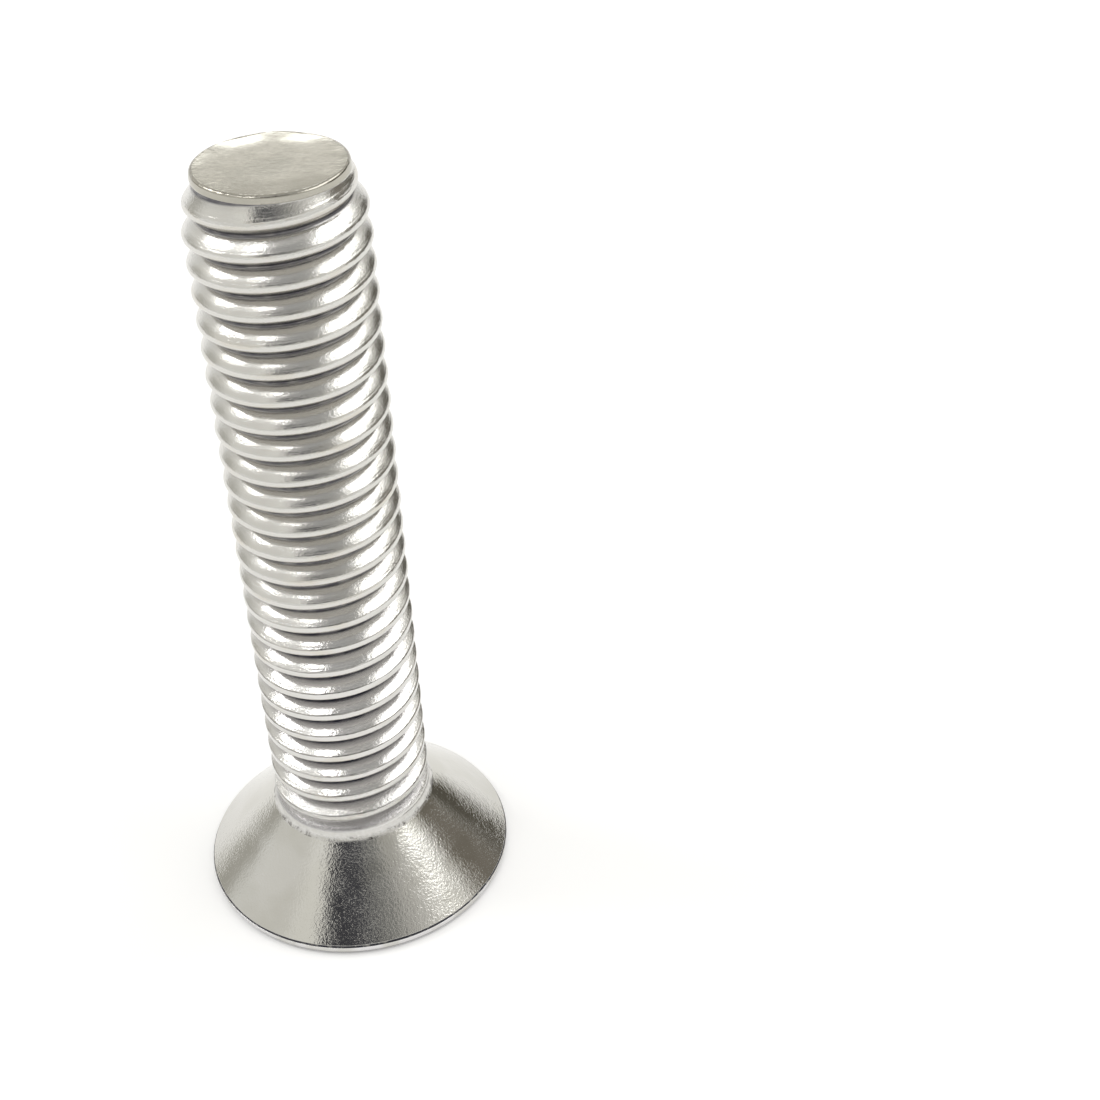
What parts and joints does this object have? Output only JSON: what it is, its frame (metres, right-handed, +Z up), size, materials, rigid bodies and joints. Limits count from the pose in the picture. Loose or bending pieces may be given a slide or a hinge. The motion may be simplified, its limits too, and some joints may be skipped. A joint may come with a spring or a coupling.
{
  "type": "countersunk socket screw",
  "caption": "Stainless machine screw with a flat, cone-backed head, a hexagonal socket in its face and a right-hand thread along the whole shank.",
  "frame": {"origin": "centre of the head's flat face, on which the screw stands", "axes": "+Z runs up the screw's axis to its tip, and +X passes through a corner of the hexagonal socket"},
  "size_m": [0.0116, 0.0116, 0.029],
  "materials": {
    "steel": "bright rolled thread, finely grained satin cone and face"
  },
  "bodies": {
    "root": {"screw": "steel"}
  },
  "joints": []
}
